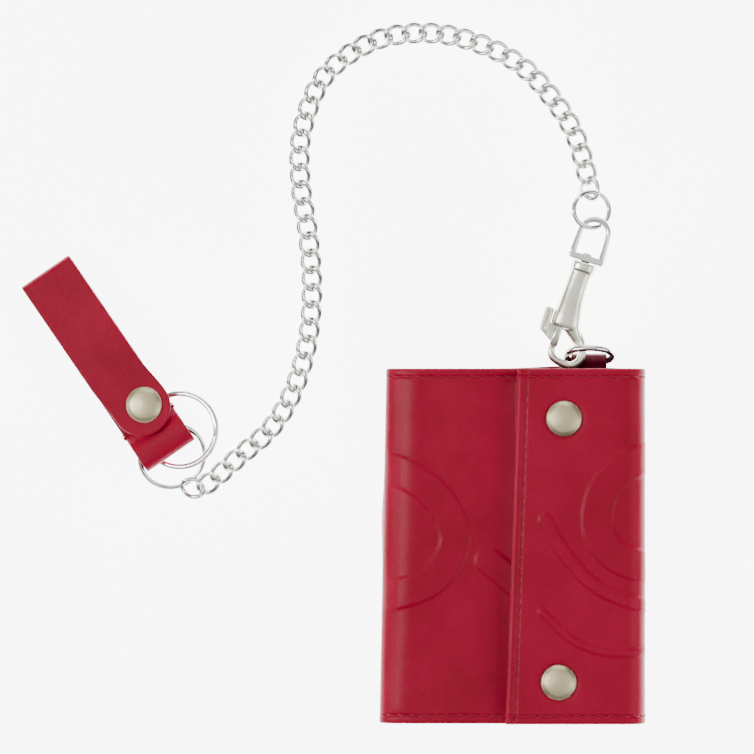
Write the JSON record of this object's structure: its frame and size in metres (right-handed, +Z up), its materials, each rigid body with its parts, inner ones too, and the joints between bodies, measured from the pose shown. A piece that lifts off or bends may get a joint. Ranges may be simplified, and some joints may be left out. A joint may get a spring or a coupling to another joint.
{
  "type": "chain wallet",
  "caption": "Three-panel leather wallet, closed by a snapped flap, with a D-ring, swivel snap hook, curb chain and a snap belt strap that carries two rings.",
  "frame": {"origin": "centre of the outer face of the wallet's back panel, which lies on the surface", "axes": "+X across the wallet from the front panel's fold to the flap's fold, +Y along the folds toward the D-ring end, +Z up out of the back panel"},
  "size_m": [0.2106, 0.2357, 0.0198],
  "materials": {
    "red_leather": "smooth semi-matt",
    "dark_red_leather": "smooth semi-matt",
    "lining_leather": "matt grained",
    "nickel": "polished nickel plate",
    "satin_nickel": "satin nickel"
  },
  "bodies": {
    "wallet_back": {"back_outer": "red_leather", "back_lining": "lining_leather", "bill_divider": "lining_leather", "card_pocket_1": "lining_leather", "card_pocket_2": "lining_leather", "card_pocket_3": "lining_leather", "d_ring_tab": "dark_red_leather"},
    "left_fold": {"left_fold": "red_leather"},
    "front": {"front_outer": "red_leather", "front_lining": "lining_leather", "front_card_pocket": "lining_leather", "front_tongue": "red_leather", "snap_1_stud": "satin_nickel", "snap_1_washer": "satin_nickel", "snap_2_stud": "satin_nickel", "snap_2_washer": "satin_nickel"},
    "right_fold": {"right_fold": "red_leather"},
    "flap": {"flap_outer": "red_leather", "flap_lining": "lining_leather", "snap_1_cap": "satin_nickel", "snap_1_socket": "satin_nickel", "snap_2_cap": "satin_nickel", "snap_2_socket": "satin_nickel"},
    "d_ring": {"d_ring": "nickel"},
    "hook": {"hook_body": "nickel", "latch_spring": "satin_nickel"},
    "latch": {"latch": "nickel"},
    "eye": {"swivel_eye": "nickel"},
    "jump_ring": {"jump_ring": "nickel"},
    "chain_1": {"chain_section_1": "nickel"},
    "chain_2": {"chain_section_2": "nickel"},
    "chain_3": {"chain_section_3": "nickel"},
    "chain_4": {"chain_section_4": "nickel"},
    "chain_5": {"chain_section_5": "nickel"},
    "chain_6": {"chain_section_6": "nickel"},
    "chain_7": {"chain_section_7": "nickel"},
    "end_ring": {"end_ring": "nickel"},
    "strap": {"strap_back": "red_leather", "strap_snap_stud": "satin_nickel", "strap_snap_washer": "satin_nickel"},
    "strap_flap": {"strap_front": "red_leather", "strap_snap_cap": "satin_nickel", "strap_snap_socket": "satin_nickel"},
    "key_ring": {"key_ring": "nickel"}
  },
  "joints": [
    {"name": "right_fold_turn", "type": "hinge", "parent": "wallet_back", "child": "right_fold", "pos_m": [0.04325, 0, 0.00075], "axis": [0, 1, 0], "range_deg": [0, 87]},
    {"name": "flap_turn", "type": "hinge", "parent": "right_fold", "child": "flap", "pos_m": [0.04325, 0, 0.01705], "axis": [0, 1, 0], "range_deg": [0, 87]},
    {"name": "left_fold_turn", "type": "hinge", "parent": "wallet_back", "child": "left_fold", "pos_m": [-0.04325, 0, 0.00075], "axis": [0, -1, 0], "range_deg": [0, 75], "deforming": ["front_tongue", "snap_1_stud", "snap_1_washer", "snap_2_stud", "snap_2_washer"]},
    {"name": "front_turn", "type": "hinge", "parent": "left_fold", "child": "front", "pos_m": [-0.04325, 0, 0.01145], "axis": [0, -1, 0], "range_deg": [0, 75]},
    {"name": "d_ring_tilt", "type": "hinge", "parent": "wallet_back", "child": "d_ring", "pos_m": [0.02525, 0.0626, 0.0024], "axis": [-1, 0, 0], "range_deg": [0, 12]},
    {"name": "hook_swing", "type": "hinge", "parent": "wallet_back", "child": "hook", "pos_m": [0.0177, 0.0647, 0.0066], "axis": [0, 0, -1], "range_deg": [-15, 15]},
    {"name": "latch_slide", "type": "slide", "parent": "hook", "child": "latch", "axis": [0.3089, 0.9511, 0], "range_m": [0, 0.0042], "stiffness_N_per_m": 150, "springref_m": -0.002, "deforming": ["latch_spring"]},
    {"name": "swivel_turn", "type": "hinge", "parent": "hook", "child": "eye", "pos_m": [0.0207, 0.0863, 0.0066], "axis": [0.3089, 0.9511, 0], "range_deg": [-15, 15]},
    {"name": "jump_ring_turn", "type": "hinge", "parent": "eye", "child": "jump_ring", "pos_m": [0.026, 0.1134, 0.0066], "axis": [0.476, 0.0574, 0.8776], "continuous": true},
    {"name": "chain_bend_1", "type": "hinge", "parent": "hook", "child": "chain_1", "pos_m": [0.0253, 0.1192, 0.0066], "axis": [0, 0, 1], "range_deg": [-20, 18]},
    {"name": "chain_bend_2", "type": "hinge", "parent": "chain_1", "child": "chain_2", "pos_m": [0.01103, 0.15361, 0.00264], "axis": [0, 0, -1], "range_deg": [-12, 25]},
    {"name": "chain_bend_3", "type": "hinge", "parent": "chain_2", "child": "chain_3", "pos_m": [-0.02291, 0.17274, 0.00252], "axis": [0, 0, 1], "range_deg": [-25, 11]},
    {"name": "chain_bend_4", "type": "hinge", "parent": "chain_3", "child": "chain_4", "pos_m": [-0.06015, 0.16289, 0.00252], "axis": [0, 0, -1], "range_deg": [-12, 25]},
    {"name": "chain_bend_5", "type": "hinge", "parent": "chain_4", "child": "chain_5", "pos_m": [-0.07257, 0.12643, 0.00252], "axis": [0, 0, 1], "range_deg": [-25, 20]},
    {"name": "chain_bend_6", "type": "hinge", "parent": "chain_5", "child": "chain_6", "pos_m": [-0.06853, 0.08677, 0.00252], "axis": [0, 0, -1], "range_deg": [-25, 25]},
    {"name": "chain_bend_7", "type": "hinge", "parent": "chain_6", "child": "chain_7", "pos_m": [-0.0769, 0.04815, 0.00252], "axis": [0, 0, 1], "range_deg": [-25, 25]},
    {"name": "end_ring_swing", "type": "hinge", "parent": "chain_7", "child": "end_ring", "pos_m": [-0.109, 0.0215, 0.0025], "axis": [0, 0, 1], "range_deg": [-12, 20]},
    {"name": "strap_turn", "type": "hinge", "parent": "end_ring", "child": "strap", "pos_m": [-0.1158, 0.0303, 0.00487], "axis": [0.1994, -0.2904, 0.9359], "range_deg": [-12, 12]},
    {"name": "strap_flap_turn", "type": "hinge", "parent": "strap", "child": "strap_flap", "pos_m": [-0.15823, 0.09211, 0.00997], "axis": [-0.8244, -0.566, 0], "range_deg": [0, 135]},
    {"name": "key_ring_turn", "type": "hinge", "parent": "strap", "child": "key_ring", "pos_m": [-0.1132, 0.039, 0.00315], "axis": [-0.1547, 0.0609, 0.9861], "continuous": true}
  ],
  "couplings": [
    {"joint": "flap_turn", "follows": "right_fold_turn", "ratio": 1},
    {"joint": "front_turn", "follows": "left_fold_turn", "ratio": 1}
  ]
}
